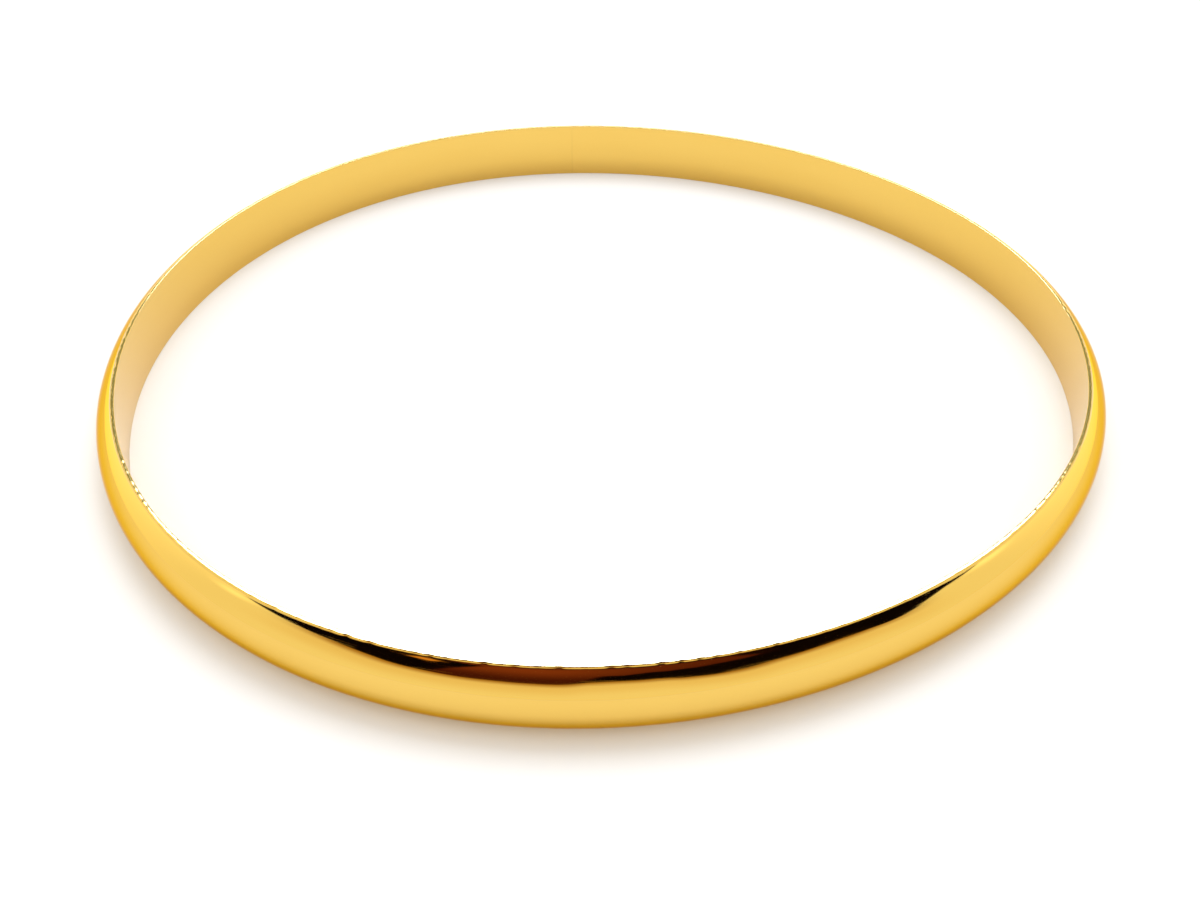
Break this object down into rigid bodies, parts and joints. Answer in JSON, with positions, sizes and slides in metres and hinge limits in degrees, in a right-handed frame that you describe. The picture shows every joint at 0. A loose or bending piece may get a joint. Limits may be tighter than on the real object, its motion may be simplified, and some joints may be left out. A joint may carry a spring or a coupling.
{
  "type": "bangle bracelet",
  "caption": "Closed hollow half-round bangle: a polished domed outer shell soldered onto a flat inner lining, worn slipped over the hand.",
  "frame": {"origin": "on the ring's axis, level with the lower rim it rests on; the three gentle lobes put the middle of the bounding box 0.35 mm to +X of it", "axes": "+Z along the ring's axis, from the lower rim to the upper rim; the joints are on the +Y side and a lobe is at +X"},
  "size_m": [0.0629, 0.0628, 0.0042],
  "materials": {
    "polished_gold": "18 carat yellow gold, mirror polished",
    "satin_gold": "18 carat yellow gold, drawn and softly burnished",
    "gold_solder": "gold solder, slightly duller than the sheet"
  },
  "bodies": {
    "root": {"outer_shell": "polished_gold", "inner_lining": "satin_gold", "shell_joint_solder": "gold_solder", "lining_joint_solder": "gold_solder", "upper_edge_solder": "gold_solder", "lower_edge_solder": "gold_solder"}
  },
  "joints": []
}
